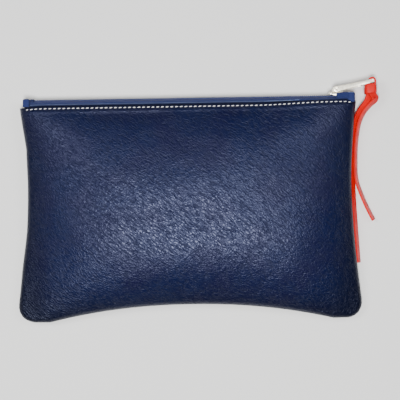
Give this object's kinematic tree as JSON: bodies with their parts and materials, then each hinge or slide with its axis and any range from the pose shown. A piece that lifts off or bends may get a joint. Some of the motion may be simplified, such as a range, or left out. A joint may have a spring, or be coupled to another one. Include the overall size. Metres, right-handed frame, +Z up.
{
  "type": "cash deposit bag",
  "caption": "Flat navy leather zip pouch for cash and documents, with a long top zip, a metal pull and a red leather thong hitched to it.",
  "frame": {"origin": "on the table that the pouch lies on, under the middle of its back panel", "axes": "+X along the zip towards its closed end with the slider, +Y from the bottom seam to the zip, +Z up through the front panel"},
  "size_m": [0.2774, 0.185, 0.0332],
  "materials": {
    "navy_leather": "pebbled, semi-gloss",
    "lining": "plain woven",
    "zip_tape": "twill woven",
    "zip_coil": "satin",
    "cream_thread": "twisted",
    "navy_thread": "twisted",
    "nickel": "polished, warm white",
    "red_leather": "smooth, semi-gloss"
  },
  "bodies": {
    "bag_back": {"back_panel": "navy_leather", "back_lining": "lining", "back_tape": "zip_tape", "back_coil": "zip_coil", "back_topstitch": "cream_thread", "back_top_stop": "zip_coil", "bottom_stop": "zip_coil", "left_end_tab": "zip_tape", "right_end_tab": "zip_tape", "seam_stitching": "navy_thread"},
    "bag_front": {"front_panel": "navy_leather", "front_lining": "lining", "front_tape": "zip_tape", "front_coil": "zip_coil", "front_topstitch": "cream_thread", "front_top_stop": "zip_coil"},
    "slider": {"slider_body": "nickel"},
    "pull": {"pull_tab": "nickel"},
    "thong": {"thong_loop": "red_leather", "thong_band": "red_leather", "thong_long_tail": "red_leather", "thong_short_tail": "red_leather"}
  },
  "joints": [
    {"name": "slider_travel", "type": "slide", "parent": "bag_back", "child": "slider", "axis": [-1, 0, 0], "range_m": [0, 0.225], "deforming": ["front_tape", "back_tape", "front_coil", "back_coil", "thong_band", "thong_long_tail", "thong_short_tail"]},
    {"name": "mouth_gape", "type": "hinge", "parent": "bag_back", "child": "bag_front", "pos_m": [0, -0.0863, 0.0045], "axis": [1, 0, 0], "range_deg": [0, 12]},
    {"name": "pull_swing", "type": "hinge", "parent": "slider", "child": "pull", "pos_m": [0.1138, 0.089, 0.01], "axis": [0, 0, 1], "range_deg": [0, 155]},
    {"name": "thong_swing", "type": "hinge", "parent": "pull", "child": "thong", "pos_m": [0.14155, 0.09505, 0.01], "axis": [0, 0, 1], "range_deg": [0, 100]}
  ],
  "couplings": [
    {"joint": "mouth_gape", "follows": "slider_travel", "rad_per_m": 0.93},
    {"joint": "thong_swing", "follows": "slider_travel", "rad_per_m": 7.755}
  ]
}
